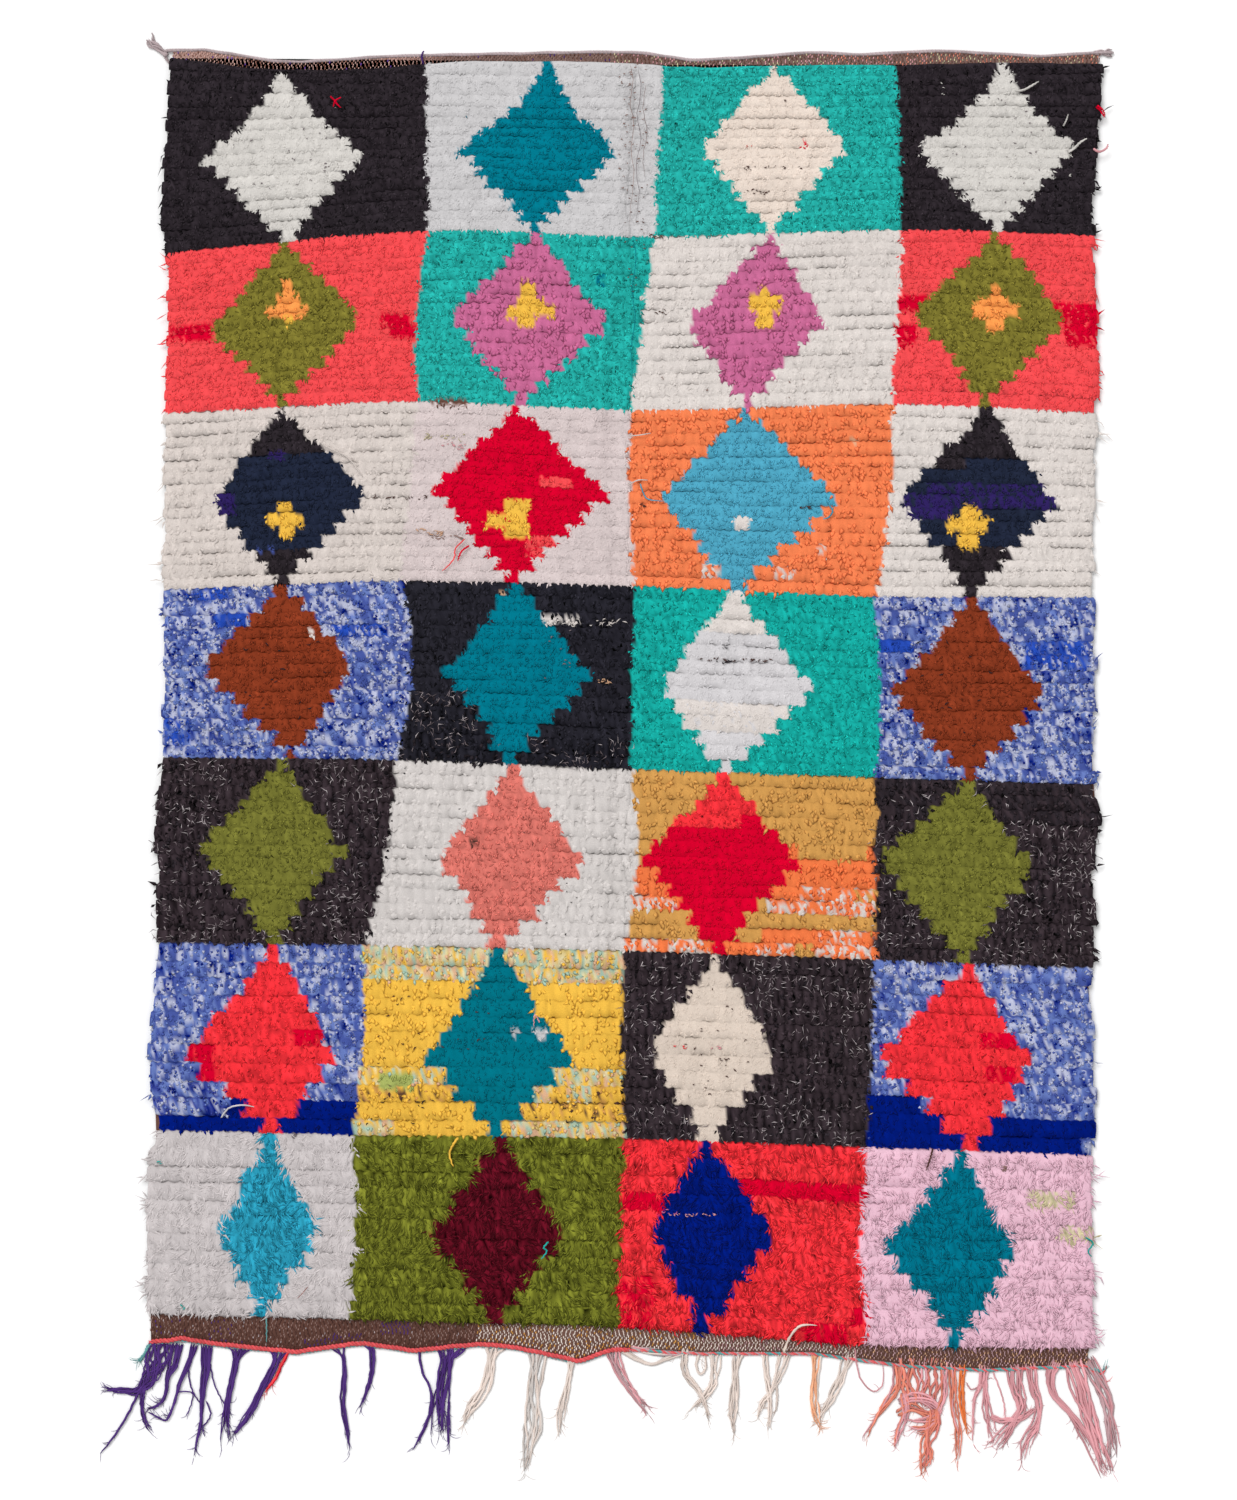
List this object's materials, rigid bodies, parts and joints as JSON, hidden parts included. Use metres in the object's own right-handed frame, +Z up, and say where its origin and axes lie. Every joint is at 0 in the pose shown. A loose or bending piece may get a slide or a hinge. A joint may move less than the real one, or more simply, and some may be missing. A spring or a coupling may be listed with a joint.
{
  "type": "boucherouite rug",
  "caption": "Hand-knotted rag rug with a lumpy shag pile in blocks of lozenges, flat-woven ends, a corded head and a loose warp fringe at the foot.",
  "frame": {"origin": "middle of the floor that the rug covers, fringe included, on the floor plane", "axes": "+Y along the warps towards the corded head, the fringe at -Y; +X across the rug to the right as seen from above with the head away; +Z up, out of the pile"},
  "size_m": [1.5352, 2.1794, 0.0193],
  "materials": {
    "rag_pile": "knotted rag and wool pile, matt",
    "head_cord_yarn": "twisted wool cord, matt",
    "purple_yarn": "twisted wool yarn, matt",
    "ivory_yarn": "twisted wool yarn, matt",
    "apricot_yarn": "twisted wool yarn, matt",
    "rose_yarn": "twisted wool yarn, matt"
  },
  "bodies": {
    "root": {"rug_body": "rag_pile", "head_cord": "head_cord_yarn", "fringe_purple": "purple_yarn", "fringe_ivory": "ivory_yarn", "fringe_ivory_right": "ivory_yarn", "fringe_apricot": "apricot_yarn", "fringe_rose": "rose_yarn"}
  },
  "joints": []
}
